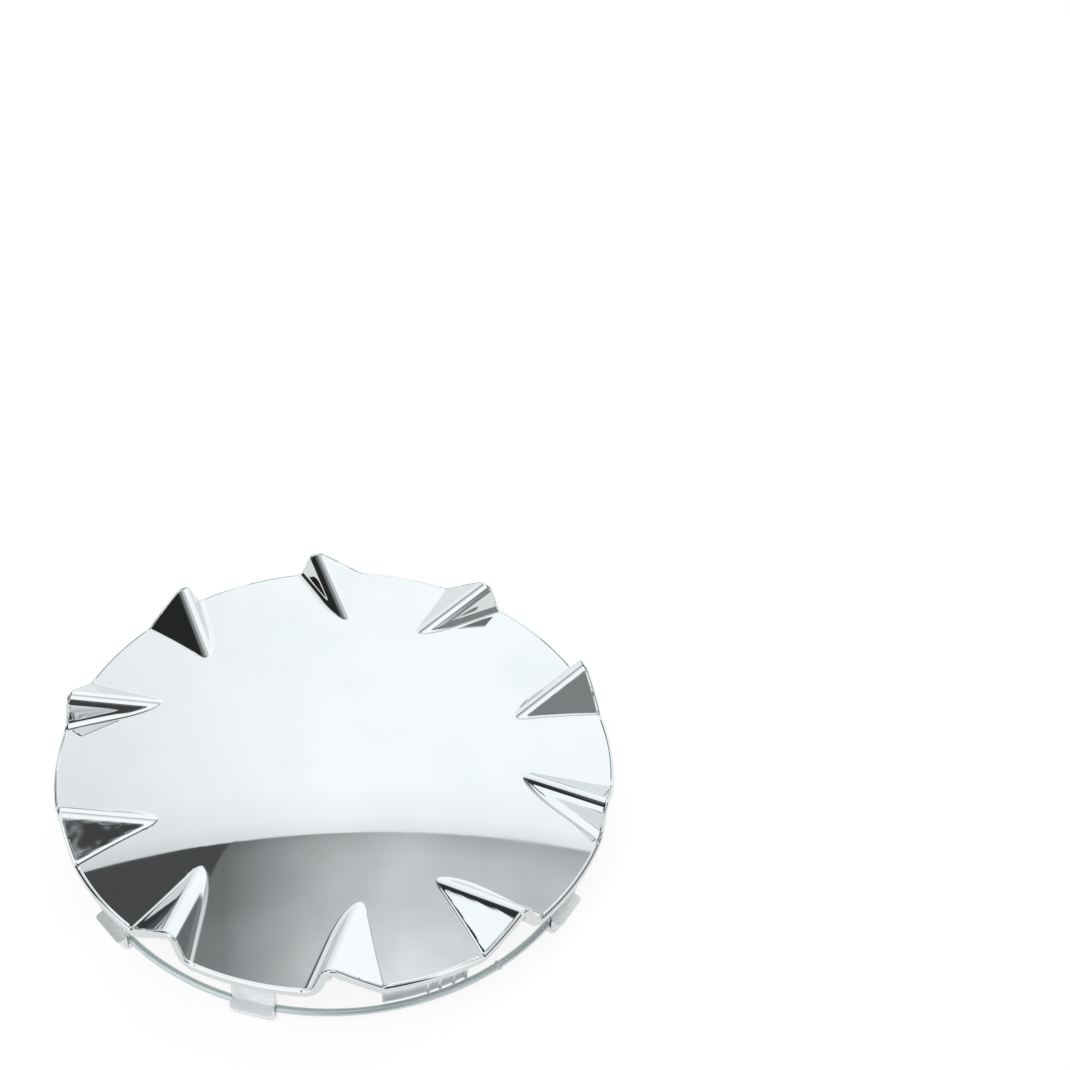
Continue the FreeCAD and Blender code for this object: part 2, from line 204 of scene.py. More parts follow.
def close_outwards(bm):
    """Merges doubles and turns every face of a closed shape outwards."""
    bmesh.ops.remove_doubles(bm, verts=bm.verts, dist=MERGE_DISTANCE)
    bmesh.ops.recalc_face_normals(bm, faces=bm.faces)
    if bm.calc_volume(signed=True) < 0:
        bmesh.ops.reverse_faces(bm, faces=bm.faces)


def only(kind, items):
    """The items of one kind, such as the vertices in what an operator made."""
    return [item for item in items if isinstance(item, kind)]


def steps(start, end, count):
    """Evenly spaced numbers after the start, up to and with the end."""
    return [start + (end - start) * (index + 1) / count for index in range(count)]


class RidgeSide:
    """One side of a ridge in a cut across it: crest arc, flank, foot round and dome."""

    def __init__(self, skin, along, side):
        shape = skin.shape
        self.skin = skin
        self.along = along
        self.side = side
        self.crest = skin.crest(along)
        self.arc = shape.crest_round
        flank = shape.outer_flank if side > 0 else shape.inner_flank
        self.flank = math.atan(math.tan(flank) * math.hypot(1, skin.slope))
        self.arc_end = self.arc * math.sin(self.flank)
        self.centre = self.crest - self.arc
        self.foot = shape.foot_round
        if not self.corner_case():
            self.arc_case()

    def dome(self, across):
        return self.skin.dome(self.along, self.skin.shape.ridge_offset + self.side * across)

    def fall(self, across):
        """How steeply the dome falls away from the crest line."""
        step = TOUCH
        return math.atan((self.dome(across - step) - self.dome(across + step)) / (2 * step))

    def corner_case(self):
        """The foot round lies between the straight flank and the dome."""
        corner = self.arc_end
        arc_foot = self.centre + self.arc * math.cos(self.flank)
        for _ in range(SETTLE_ROUNDS):
            corner = self.arc_end + (arc_foot - self.dome(corner)) / math.tan(self.flank)
        fall = self.fall(corner)
        reach = self.foot * math.tan((self.flank - fall) / 2)
        self.on_ridge = corner - reach * math.cos(self.flank)
        if self.on_ridge < self.arc_end:
            return False
        self.on_dome = corner + reach * math.cos(fall)
        self.foot_across = self.on_dome + self.foot * math.sin(fall)
        self.foot_centre = self.dome(corner) - reach * math.sin(fall) + self.foot * math.cos(fall)
        return True

    def arc_case(self):
        """The ridge is so low that the foot round meets the crest arc itself."""
        reach = self.arc + self.foot
        across = 0.0
        for _ in range(SETTLE_ROUNDS):
            fall = self.fall(across)
            self.on_dome = across - self.foot * math.sin(fall)
            centre = self.dome(max(self.on_dome, 0.0)) + self.foot * math.cos(fall)
            across = math.sqrt(max(reach ** 2 - (centre - self.centre) ** 2, 0.0))
        self.foot_across = across
        self.foot_centre = centre
        self.on_ridge = across * self.arc / reach
        self.arc_end = self.on_ridge

    def height(self, across):
        """Height of the skin at a distance from the crest line."""
        if across >= self.on_dome:
            return self.dome(across)
        if across >= self.on_ridge:
            return self.foot_centre - math.sqrt(
                max(self.foot ** 2 - (self.foot_across - across) ** 2, 0.0))
        if across >= self.arc_end:
            arc_foot = self.centre + self.arc * math.cos(self.flank)
            return arc_foot - (across - self.arc * math.sin(self.flank)) * math.tan(self.flank)
        return self.centre + math.sqrt(self.arc ** 2 - across ** 2)

    def stations(self):
        """Distances from the crest line at which the skin's grid has its lines.

        They are closest where the skin turns most, and shift evenly from one cut to the next."""
        turn = math.asin(min(self.arc_end / self.arc, 1.0))
        lean = self.foot_across - self.on_ridge
        first = math.asin(max(min(lean / self.foot, 1.0), -1.0))
        last = math.asin(max(min((self.foot_across - self.on_dome) / self.foot, 1.0), -1.0))
        flank = (self.on_ridge - self.arc_end) / math.cos(self.flank)
        shares = [turn + STATION_PULL * turn * self.arc, STATION_PULL * flank,
                  (first - last) * (1 + STATION_PULL * self.foot)]
        places = []
        for share in steps(0.0, sum(shares), STATION_COUNT):
            if share <= shares[0]:
                places.append(self.arc * math.sin(turn * share / shares[0]))
            elif share <= shares[0] + shares[1]:
                part = (share - shares[0]) / shares[1]
                places.append(self.arc_end + (self.on_ridge - self.arc_end) * part)
            else:
                part = min((share - shares[0] - shares[1]) / shares[2], 1.0)
                places.append(self.foot_across - self.foot * math.sin(first + (last - first) * part))
        return places + [self.on_dome + past for past in LINES_PAST_FOOT]


class Skin:
    """Heights of the shell's outer skin. One pair's middle line runs along +X here."""

    def __init__(self, shape):
        self.shape = shape
        self.dome_radius = (shape.rim_radius ** 2 + shape.dome_rise ** 2) / (2 * shape.dome_rise)
        self.sector = math.pi / shape.pair_count
        crest_end = math.sqrt(shape.rim_radius ** 2 - shape.ridge_offset ** 2)
        self.nose_at = crest_end - shape.ridge_length
        self.nose_top = self.dome(self.nose_at, shape.ridge_offset) + shape.nose_rise
        rise = shape.rim_height + shape.crest_height - self.nose_top
        self.slope = rise / shape.ridge_length
        self.cuts = {}
        self.hold_at = self.nose_at + HOLD_PAST_NOSE
        self.held = [self.side(self.hold_at, side).stations() for side in (-1, 1)]

    def dome(self, x, y):
        shape = self.shape
        return (shape.rim_height + shape.dome_rise - self.dome_radius
                + math.sqrt(self.dome_radius ** 2 - x * x - y * y))

    def crest(self, along):
        """Height of a crest, which runs out smoothly into the dome at its nose."""
        shape = self.shape
        base = self.dome(along, shape.ridge_offset)
        rise = self.nose_top + (along - self.nose_at) * self.slope - base
        lean = self.slope + along / self.dome_radius
        soft = shape.foot_round * lean ** 2 / 2
        if rise > soft:
            return base + rise
        return base + max(rise + soft, 0.0) ** 2 / (4 * soft)

    def side(self, along, side):
        key = (round(along, 7), side)
        if key not in self.cuts:
            self.cuts[key] = RidgeSide(self, along, side)
        return self.cuts[key]

    def height(self, x, y):
        """Height over a point of the half sector between a pair's middle line and the next."""
        across = y - self.shape.ridge_offset
        side = 1 if across > 0 else -1
        if self.crest(x) - self.dome(x, self.shape.ridge_offset) < LEVEL:
            return self.dome(x, y)
        return self.side(x, side).height(abs(across))

    def height_anywhere(self, x, y):
        """Height over any point of the finished cap, whose first pair lies along +Y."""
        turn = (math.atan2(y, x) - math.pi / 2) % (2 * self.sector)
        turn = min(turn, 2 * self.sector - turn)
        radius = math.hypot(x, y)
        return self.height(radius * math.cos(turn), radius * math.sin(turn))

    def point(self, x, y):
        return Vector((x, y, self.height(x, y)))

    def normal(self, x, y):
        step = 2e-5
        rise_x = (self.height(x + step, y) - self.height(x - step, y)) / (2 * step)
        rise_y = (self.height(x, y + step) - self.height(x, y - step)) / (2 * step)
        return Vector((-rise_x, -rise_y, 1.0)).normalized()

    def rim_radius(self, z):
        shape = self.shape
        return shape.rim_radius - max(z - shape.draft_foot, 0.0) * math.tan(shape.rim_draft)

    def lines(self, along):
        """Sideways places of the grid's lines, from a pair's middle line to the next sector."""
        offset = self.shape.ridge_offset
        if along > self.hold_at:
            inner, outer = [self.side(along, side).stations() for side in (-1, 1)]
        else:
            inner, outer = self.held
        near = [offset - place for place in reversed(inner)]
        far = [offset + place for place in outer]
        edge = along * math.tan(self.sector)
        return ([0.0] + steps(0.0, near[0], LINES_TO_MIDDLE) + near[1:] + [offset] + far
                + steps(far[-1], edge, LINES_TO_SECTOR))


def bisect(low, high, test):
    """The place between two numbers where a test turns false."""
    for _ in range(HALVINGS):
        middle = (low + high) / 2
        if test(middle):
            low = middle
        else:
            high = middle
    return low


def quarter_round(corner, back, onward, radius, count):
    """Points of a quarter round in place of a corner, from its first side to its second."""
    return [corner + back * radius * (1 - math.sin(turn)) + onward * radius * (1 - math.cos(turn))
            for turn in [0.0] + steps(0.0, math.pi / 2, count)]


def shell_rows(skin):
    """Rows of points that run over the skin, round the rim and back under it, line by line."""
    shape = skin.shape
    count = len(skin.lines(skin.hold_at))
    disc = 0.06
    past_rim = 0.103
    slack = 0.004
    top_steps, low_steps = 5, 4
    disc_steps = [0.0, 0.05, 0.15, 0.27, 0.39, 0.51, 0.62, 0.72, 0.81, 0.89, 0.95]
    run_steps = ([0.0, 0.03] + steps(0.03, 0.36, 26) + steps(0.36, 0.95, 20) + [0.965, 0.98])

    def across(index, along):
        return skin.lines(along)[index]

    def place(index, along):
        return Vector((along, across(index, along)))

    def under(index, along):
        x, y = place(index, along)
        return skin.point(x, y) - skin.normal(x, y) * shape.wall

    starts, ends, under_ends, edges, under_edges = [], [], [], [], []
    for index in range(count):
        start = bisect(0.0, disc, lambda along: place(index, along).length < disc)
        end = bisect(start, past_rim, lambda along: place(index, along).length
                     < skin.rim_radius(skin.height(along, across(index, along))))
        under_end = bisect(end - slack, end + slack, lambda along: under(index, along).xy.length
                           < skin.rim_radius(under(index, along).z))
        starts.append(start)
        ends.append(end)
        under_ends.append(under_end)
        edges.append(skin.point(*place(index, end)))
        under_edges.append(under(index, under_end))

    rows = []
    for index in range(count):
        first, last = edges[max(index - 1, 0)], edges[min(index + 1, count - 1)]
        run = (last - first).normalized()
        if index == 0:
            run = Vector((0.0, 1.0, 0.0))
        elif index == count - 1:
            run = Vector((-math.sin(skin.sector), math.cos(skin.sector), 0.0))
        edge, under_edge = edges[index], under_edges[index]
        up = skin.normal(edge.x, edge.y)
        radial = Vector((edge.x, edge.y, 0.0)).normalized()
        out = radial * math.cos(shape.rim_draft) + Vector((0, 0, math.sin(shape.rim_draft)))
        back = up.cross(run).normalized()
        back *= -1 if back.dot(radial) > 0 else 1
        down = out.cross(run).normalized()
        down *= -1 if down.dot(up) > 0 else 1
        start_place = place(index, starts[index])
        top = [skin.point(*(start_place * step)) for step in disc_steps]
        top += [skin.point(*place(index, starts[index] + (ends[index] - starts[index]) * step))
                for step in run_steps]
        low = []
        for step in disc_steps:
            x, y = start_place * step
            low.append(skin.point(x, y) - skin.normal(x, y) * shape.wall)
        low += [under(index, starts[index] + (under_ends[index] - starts[index]) * step)
                for step in run_steps]
        face_top = quarter_round(edge, back, down, shape.edge_round, top_steps)
        face_low = quarter_round(under_edge, -down, back, shape.edge_round, low_steps)
        middle = [face_top[-1].lerp(face_low[0], step) for step in (0.33, 0.67)]
        rows.append(top + face_top + middle + face_low + list(reversed(low)))
    return rows


def make_shell(shape):
    """The dome with its pairs of ridges, as one closed wall."""
    skin = Skin(shape)
    rows = shell_rows(skin)
    lines, points = len(rows), len(rows[0])
    bm = bmesh.new()
    bmesh.ops.create_grid(bm, x_segments=lines - 1, y_segments=points - 1, size=1.0)
    for vertex in bm.verts:
        line = round((vertex.co.x + 1) / 2 * (lines - 1))
        point = round((vertex.co.y + 1) / 2 * (points - 1))
        vertex.co = rows[line][point]
    half = list(bm.verts) + list(bm.edges) + list(bm.faces)
    other = bmesh.ops.duplicate(bm, geom=half)["geom"]
    bmesh.ops.scale(bm, vec=(1.0, -1.0, 1.0), verts=only(bmesh.types.BMVert, other))
    bmesh.ops.reverse_faces(bm, faces=only(bmesh.types.BMFace, other))
    bmesh.ops.remove_doubles(bm, verts=bm.verts, dist=MERGE_DISTANCE)
    sector = list(bm.verts) + list(bm.edges) + list(bm.faces)
    for index in range(1, shape.pair_count):
        copy = bmesh.ops.duplicate(bm, geom=sector)["geom"]
        bmesh.ops.rotate(bm, verts=only(bmesh.types.BMVert, copy), cent=(0, 0, 0),
                         matrix=Matrix.Rotation(2 * skin.sector * index, 3, "Z"))
    bmesh.ops.rotate(bm, verts=bm.verts, cent=(0, 0, 0), matrix=Matrix.Rotation(math.pi / 2, 3, "Z"))
    close_outwards(bm)
    cut_notch(bm, skin)
    return bm


def cut_notch(bm, skin):
    """Thins the rim edge from below over the gap beside the fin."""
    shape = skin.shape
    start, end = (math.radians(turn) for turn in NOTCH_SPAN)
    floor = shape.rim_height - shape.notch_skin
    for vertex in bm.verts:
        x, y, z = vertex.co
        turn = math.atan2(y, x) - math.pi / 2
        radius = math.hypot(x, y)
        if start < turn < end and radius > shape.rim_radius - shape.notch_depth:
            z = max(z, min(floor, skin.height_anywhere(x, y) - NOTCH_CLEARANCE))
            trim = min(skin.rim_radius(z) / radius, 1.0)
            vertex.co = (x * trim, y * trim, z)


def leg_profile(post, ring, top):
    """Outline of a leg in a cut through the axis: distance from the axis and height."""
    groove = ring.wire_diameter / 2 + ring.groove_clearance
    inner = post.leg_radius - post.leg_wall
    hook = post.leg_radius + post.barb_reach
    mouth = [(ring.ring_radius + groove * math.sin(turn), ring.ring_height - groove * math.cos(turn))
             for turn in [0.0] + steps(0.0, math.pi, GROOVE_STEPS)]
    return ([(inner, ring.ring_height - groove)] + mouth + [
        (inner, ring.ring_height + groove),
        (inner, top),
        (post.leg_radius, top),
        (post.leg_radius, post.barb_height),
        (hook, post.barb_height - post.barb_fall),
        (hook - post.barb_taper, post.barb_bevel),
        (hook - post.barb_taper - post.barb_bevel, 0.0),
        (inner, 0.0),
    ])


def extrude(bm, face, vec):
    """Draws a face out along a vector and returns its far end."""
    made = bmesh.ops.extrude_face_region(bm, geom=[face])["geom"]
    bmesh.ops.translate(bm, vec=vec, verts=only(bmesh.types.BMVert, made))
    return only(bmesh.types.BMFace, made)[0]


def prism(outline, places):
    """A closed prism on an outline in XZ, with a ring of points at each of its places along Y."""
    bm = bmesh.new()
    face = bm.faces.new([bm.verts.new((x, places[0], z)) for x, z in outline])
    for last, place in zip(places, places[1:]):
        face = extrude(bm, face, (0, place - last, 0))
    return bm


def bent_prism(outline, degrees, count):
    """A closed prism on an outline, bent about the dome's axis."""
    bm = bmesh.new()
    face = bm.faces.new([bm.verts.new(point) for point in outline])
    bmesh.ops.spin(bm, geom=[face], cent=(0, 0, 0), axis=(0, 0, 1),
                   angle=math.radians(degrees), steps=count)
    return bm


def add_post(whole, part, degrees, skin):
    """Turns a post into place, lets it end half way up the wall above it, and joins it in."""
    shape = skin.shape
    bmesh.ops.rotate(part, verts=part.verts, cent=(0, 0, 0),
                     matrix=Matrix.Rotation(math.pi / 2 + math.radians(degrees), 3, "Z"))
    for vertex in part.verts:
        if vertex.co.z > shape.rim_height:
            vertex.co.z = skin.height_anywhere(vertex.co.x, vertex.co.y) - shape.wall / 2
    close_outwards(part)
    mesh = bpy.data.meshes.new("post")
    part.to_mesh(mesh)
    part.free()
    whole.from_mesh(mesh)
    bpy.data.meshes.remove(mesh)


def leg(post, ring, top):
    """One snap leg, with a groove bent like the wire and rounded corners on its barb."""
    part = prism(leg_profile(post, ring, top), [share * post.leg_width for share in LEG_SHARES])
    hook = post.leg_radius + post.barb_reach
    lean = post.barb_taper / (post.barb_height - post.barb_fall - post.barb_bevel)
    for vertex in part.verts:
        x, y, z = vertex.co
        if post.leg_radius - post.leg_wall + TOUCH < x < post.leg_radius - TOUCH:
            vertex.co.x -= y ** 2 / (2 * ring.ring_radius)
        beside = abs(y) - post.leg_width / 2 + post.barb_round
        if x > post.leg_radius + TOUCH and beside > 0:
            pull = post.barb_round - math.sqrt(max(post.barb_round ** 2 - beside ** 2, 0.0))
            face = hook - lean * (post.barb_height - post.barb_fall - z)
            vertex.co.x = min(x, face - pull)
            if z > post.barb_height / 2:
                vertex.co.z = (post.barb_height - post.barb_fall
                               * (vertex.co.x - post.leg_radius) / post.barb_reach)
    return part


def gusset(shape, post, top):
    """The small three-cornered plate across the fin's root."""
    middle = post.leg_radius - post.fin_length / 2
    half = post.gusset_width / 2
    bm = bmesh.new()
    corners = [(0.0, post.fin_foot + post.fin_wall), (half, shape.rim_height - shape.wall),
               (half, top), (-half, top), (-half, shape.rim_height - shape.wall)]
    face = bm.faces.new([bm.verts.new((middle - post.gusset_wall / 2, y, z)) for y, z in corners])
    extrude(bm, face, (post.gusset_wall, 0, 0))
    return bm


def add_tooth(whole, skin, post, mirror, side, flank, turn):
    """Adds a small tooth in a ridge's hollow, where its crest meets the rim."""
    shape = skin.shape
    hollow = shape.crest_round - shape.wall
    slope = math.atan(skin.slope)
    along = shape.ridge_length / math.cos(slope) - post.tooth_length / 2 - shape.wall
    across = side * (hollow * math.sin(flank) + post.tooth_reach * math.cos(flank))
    drop = shape.crest_round - hollow * math.cos(flank) + post.tooth_reach * math.sin(flank)
    place = (Matrix.Rotation(math.pi / 2 + turn, 4, "Z")
             @ Matrix.Diagonal((1.0, mirror, 1.0, 1.0))
             @ Matrix.Translation((skin.nose_at, shape.ridge_offset, skin.nose_top))
             @ Matrix.Rotation(-slope, 4, "Y")
             @ Matrix.Translation((along, across, -drop))
             @ Matrix.Rotation(math.pi / 2, 4, "Y"))
    bmesh.ops.create_cone(whole, cap_ends=True, segments=TOOTH_SIDES,
                          radius1=post.tooth_diameter / 2, radius2=post.tooth_diameter / 2,
                          depth=post.tooth_length, matrix=place)


def upright(inner, outer, foot, top, thickness):
    """A plate that stands along the radius."""
    return prism([(inner, foot), (outer, foot), (outer, top), (inner, top)],
                 (-thickness / 2, thickness / 2))


def make_posts(shape, post, ring):
    """The legs, the collar segments with their ribs, the fin with its plate and the teeth."""
    skin = Skin(shape)
    whole = bmesh.new()
    top = shape.rim_height + shape.dome_rise
    for step in LEG_STEPS:
        add_post(whole, leg(post, ring, top), step * math.degrees(skin.sector), skin)
    inner = post.collar_radius - post.collar_wall
    section = [(inner, 0, post.collar_foot), (post.collar_radius, 0, post.collar_foot),
               (post.collar_radius, 0, top), (inner, 0, top)]
    for middle, span in COLLARS:
        collar = bent_prism(section, span, round(COLLAR_STEPS_PER_DEGREE * span))
        add_post(whole, collar, middle - span / 2, skin)
    for direction in COLLAR_RIBS:
        add_post(whole, upright(post.collar_radius - post.collar_wall / 2,
                                post.collar_radius + post.rib_proud, post.collar_foot, top,
                                post.rib_wall), direction, skin)
    add_post(whole, upright(post.leg_radius - post.fin_length, post.leg_radius, post.fin_foot, top,
                            post.fin_wall), FIN_DIRECTION, skin)
    add_post(whole, gusset(shape, post, top), FIN_DIRECTION, skin)
    for index in range(shape.pair_count):
        for mirror in (1, -1):
            for side, flank in ((1, shape.outer_flank), (-1, shape.inner_flank)):
                add_tooth(whole, skin, post, mirror, side, flank, 2 * index * skin.sector)
    close_outwards(whole)
    return whole


def make_ring(ring):
    """The wire bent to a full ring, and the bead where its ends are welded."""
    bm = bmesh.new()
    wire = ring.wire_diameter / 2
    bmesh.ops.create_circle(bm, segments=WIRE_SIDES, radius=wire, matrix=Matrix.Translation(
        (ring.ring_radius, 0, ring.ring_height)) @ Matrix.Rotation(math.pi / 2, 4, "X"))
    bmesh.ops.spin(bm, geom=list(bm.verts) + list(bm.edges), cent=(0, 0, 0), axis=(0, 0, 1),
                   angle=2 * math.pi, steps=RING_STEPS, use_merge=True)
    bead = bmesh.ops.create_uvsphere(bm, u_segments=WIRE_SIDES, v_segments=BEAD_RINGS,
                                     radius=ring.bead_diameter / 2)["verts"]
    bmesh.ops.scale(bm, vec=(1.0, ring.bead_length / ring.bead_diameter, 1.0), verts=bead)
    bmesh.ops.translate(bm, vec=(ring.ring_radius, 0, ring.ring_height), verts=bead)
    bmesh.ops.rotate(bm, verts=bead, cent=(0, 0, 0), matrix=Matrix.Rotation(
        math.pi / 2 + math.radians(BEAD_DIRECTION), 3, "Z"))
    close_outwards(bm)
    return bm


# Node trees.

class NodeKit:
    """Short calls that add nodes to one tree. A value is a number or another node's output."""

    def __init__(self, tree):
        self.nodes = tree.nodes
        self.link = tree.links.new

    def feed(self, socket, value):
        """Gives a socket its value."""
        if isinstance(value, bpy.types.NodeSocket):
            self.link(value, socket)
        else:
            socket.default_value = value

    def maths(self, operation, *values):
        node = self.nodes.new("ShaderNodeMath")
        node.operation = operation
        for socket, value in zip(node.inputs, values):
            self.feed(socket, value)
        return node.outputs[0]

    def dot(self, vector, direction):
        node = self.nodes.new("ShaderNodeVectorMath")
        node.operation = "DOT_PRODUCT"
        self.link(vector, node.inputs[0])
        node.inputs[1].default_value = direction
        return node.outputs["Value"]

    def stretch(self, value, low, high, bottom=0.0, top=1.0, kind="LINEAR"):
        """Carries the stretch from low to high over to the one from bottom to top."""
        node = self.nodes.new("ShaderNodeMapRange")
        node.interpolation_type = kind
        for socket, item in zip(node.inputs, (value, low, high, bottom, top)):
            self.feed(socket, item)
        return node.outputs["Result"]

    def step(self, value, low, high):
        """Rises smoothly from zero to one between two numbers."""
        return self.stretch(value, low, high, kind="SMOOTHSTEP")

    def band(self, value, low, high, soft):
        """One between two numbers and zero outside them, with soft edges."""
        return self.maths("MULTIPLY", self.step(value, low - soft, low + soft),
                          self.step(value, high + soft, high - soft))

    def noise(self, place, scale, detail, distortion=0.0):
        """A cloudy pattern."""
        node = self.nodes.new("ShaderNodeTexNoise")
        self.link(place, node.inputs["Vector"])
        self.feed(node.inputs["Scale"], scale)
        node.inputs["Detail"].default_value = detail
        node.inputs["Distortion"].default_value = distortion
        return node.outputs["Fac"]

    def mix(self, factor, first, second, kind="FLOAT"):
        node = self.nodes.new("ShaderNodeMix")
        node.data_type = kind
        sockets = [socket for socket in node.inputs if socket.enabled]
        for socket, value in zip(sockets, (factor, first, second)):
            self.feed(socket, value)
        return next(socket for socket in node.outputs if socket.enabled)

    def mix_shaders(self, factor, first, second):
        node = self.nodes.new("ShaderNodeMixShader")
        for socket, value in zip(node.inputs, (factor, first, second)):
            self.link(value, socket)
        return node.outputs[0]

    def curve(self, value, points):
        """A value read off straight lines between points."""
        low, high = points[0][0], points[-1][0]
        ramp = self.nodes.new("ShaderNodeValToRGB")
        while len(ramp.color_ramp.elements) < len(points):
            ramp.color_ramp.elements.new(0.5)
        for element, (at, tone) in zip(ramp.color_ramp.elements, points):
            element.position = (at - low) / (high - low)
            element.color = (tone / 2, tone / 2, tone / 2, 1.0)
        self.link(self.stretch(value, low, high), ramp.inputs["Fac"])
        return self.maths("MULTIPLY", ramp.outputs["Color"], 2.0)


def new_group(name, inputs, outputs):
    """An empty shader node group with named sockets, and its input and output nodes."""
    group = bpy.data.node_groups.new(name, "ShaderNodeTree")
    for label, kind, value in inputs:
        socket = group.interface.new_socket(label, in_out="INPUT", socket_type=kind)
        socket.default_value = value
    for label, kind in outputs:
        group.interface.new_socket(label, in_out="OUTPUT", socket_type=kind)
    return group, group.nodes.new("NodeGroupInput"), group.nodes.new("NodeGroupOutput")


# Finishes.

# The part of the cloud pattern over which a surface turns from clear to hazy, and the detail of
# the cloud and wave patterns.
HAZE_SPREAD = (0.42, 0.68)
HAZE_DETAIL = 4.0
WAVE_DETAIL = 1.0


def haze_group():
    """Faint cloudy marks of handling, for a colour, a roughness and a shallow waviness."""
    group, given, out = new_group("surface_haze", [
        ("Colour", "NodeSocketColor", (0.8, 0.8, 0.8, 1.0)),
        ("Haze colour", "NodeSocketColor", (0.7, 0.7, 0.7, 1.0)),
        ("Cloud scale", "NodeSocketFloat", 30.0),
        ("Low roughness", "NodeSocketFloat", 0.02),
        ("High roughness", "NodeSocketFloat", 0.06),
        ("Wave scale", "NodeSocketFloat", 60.0),
    ], [("Colour", "NodeSocketColor"), ("Roughness", "NodeSocketFloat"),
        ("Wave", "NodeSocketFloat")])
    kit = NodeKit(group)
    place = kit.nodes.new("ShaderNodeTexCoord").outputs["Object"]
    haze = kit.stretch(kit.noise(place, given.outputs["Cloud scale"], HAZE_DETAIL), *HAZE_SPREAD)
    kit.link(kit.mix(haze, given.outputs["Colour"], given.outputs["Haze colour"], kind="RGBA"),
             out.inputs["Colour"])
    kit.link(kit.stretch(haze, 0.0, 1.0, given.outputs["Low roughness"],
                         given.outputs["High roughness"]), out.inputs["Roughness"])
    kit.link(kit.noise(place, given.outputs["Wave scale"], WAVE_DETAIL), out.inputs["Wave"])
    return group


def metal(name, values, wave_depth, metallic=1.0):
    """A finish, made once, whose colour, roughness and waviness come from the haze group."""
    found = bpy.data.materials.get(name)
    if found:
        return found
    material = bpy.data.materials.new(name)
    material.use_nodes = True
    nodes, link = material.node_tree.nodes, material.node_tree.links.new
    shader = nodes["Principled BSDF"]
    shader.inputs["Metallic"].default_value = metallic
    marks = nodes.new("ShaderNodeGroup")
    marks.node_tree = bpy.data.node_groups.get("surface_haze") or haze_group()
    for label, value in values.items():
        marks.inputs[label].default_value = value
    bump = nodes.new("ShaderNodeBump")
    bump.inputs["Strength"].default_value = 1.0
    bump.inputs["Distance"].default_value = wave_depth
    link(marks.outputs["Colour"], shader.inputs["Base Color"])
    link(marks.outputs["Roughness"], shader.inputs["Roughness"])
    link(marks.outputs["Wave"], bump.inputs["Height"])
    link(bump.outputs["Normal"], shader.inputs["Normal"])
    return material


def plating_material(look):
    """Bright chrome on the shell."""
    return metal("chrome_plating", {
        "Colour": (*look.plating, 1.0), "Haze colour": (*look.plating_haze, 1.0),
        "Cloud scale": 22.0, "Low roughness": 0.01, "High roughness": 0.04,
        "Wave scale": 28.0}, wave_depth=0.00002)


def satin_material(look):
    """Thinner, duller plating on the legs, collars, ribs and teeth."""
    return metal("satin_plating", {
        "Colour": (*look.satin, 1.0), "Haze colour": (*look.plating, 1.0),
        "Cloud scale": 60.0, "Low roughness": 0.24, "High roughness": 0.38,
        "Wave scale": 120.0}, wave_depth=0.00002, metallic=0.55)


def wire_material(look):
    """Zinc-coated spring wire."""
    return metal("spring_wire", {
        "Colour": (*look.wire, 1.0), "Haze colour": (*look.wire_dull, 1.0),
        "Cloud scale": 90.0, "Low roughness": 0.04, "High roughness": 0.12,
        "Wave scale": 500.0}, wave_depth=0.00001)


# Stage.

# How much of the floor's brightness the camera and the plating see as plain white.
FLOOR_GLOW = 0.86

# The room that the plating mirrors. The camera looks along this compass direction, in degrees
# anticlockwise from +X. Places on the ceiling are given to the right and ahead of the cap, as
# multiples of the ceiling's height, and the wall ahead meets the ceiling at CEILING_EDGE.
LOOK_DIRECTION = 72.212
CEILING_EDGE = 0.627

# Brightness of the wall ahead, from the horizon (0) to the ceiling (1).
WALL_TONES = ((0.0, 0.96), (0.45, 1.0), (0.8, 1.0), (0.93, 0.93), (1.0, 0.82))

# A factor on the wall's brightness by compass direction, in degrees to the right of ahead.
WALL_ACROSS = ((-60.0, 0.78), (-30.0, 0.81), (-8.0, 0.95), (0.0, 1.0), (60.0, 1.0))

# Brightness of the ceiling from left to right, and a factor on it from behind to ahead.
CEILING_ACROSS = ((-1.6, 0.012), (-1.1, 0.04), (-0.7, 0.08), (-0.44, 0.14), (-0.19, 0.17),
                  (-0.12, 0.29), (-0.06, 0.4), (0.0, 0.49), (0.1, 0.6), (0.25, 0.56), (0.6, 0.5))
CEILING_AHEAD = ((0.2, 1.3), (0.3, 1.3), (0.39, 1.2), (0.47, 1.02), (0.56, 0.97), (0.6, 0.86),
                 (0.627, 0.72))

# A dark screen on the ceiling: where its right edge crosses the cap's line, how far that edge
# leans to the right per height ahead, where its back edge lies, and its brightness.
SCREEN = (-0.44, 0.41, 0.42, 0.065)

# Areas round the cap, each of one tone or mottled: compass directions from and to, counted in
# degrees to the right of straight ahead, lowest and highest elevation, softness of the edges,
# brightness, and how far the brightness is mottled.
ROOM_AREAS = (
    (-200.0, -91.5, -20.0, 46.0, 1.5, 1.0, 0.0),
    (-90.0, -48.0, -20.0, 50.0, 3.0, 0.02, 0.0),
    (-112.0, -52.0, 42.8, 54.0, 0.7, 0.03, 0.0),
    (66.0, 129.0, -20.0, 58.0, 3.0, 0.22, 0.0),
    (149.0, 200.0, -20.0, 62.0, 3.0, 0.05, 0.45),
    (-200.0, -169.0, -20.0, 62.0, 3.0, 0.05, 0.45),
)

# The ceiling's faint cloudiness: its darkest factor, how much brighter it gets, and the scale and
# detail of its pattern. Next, where the ceiling gives way to the pale end of the room behind.
CEILING_CLOUD = (0.8, 0.4, 9.0, 3.0)
CEILING_END = (0.21, 0.09)

# Half widths of the soft edges of the screen's side, its back and the ceiling's front.
SIDE_BLUR = 0.006
BACK_BLUR = 0.03
FRONT_BLUR = 0.002

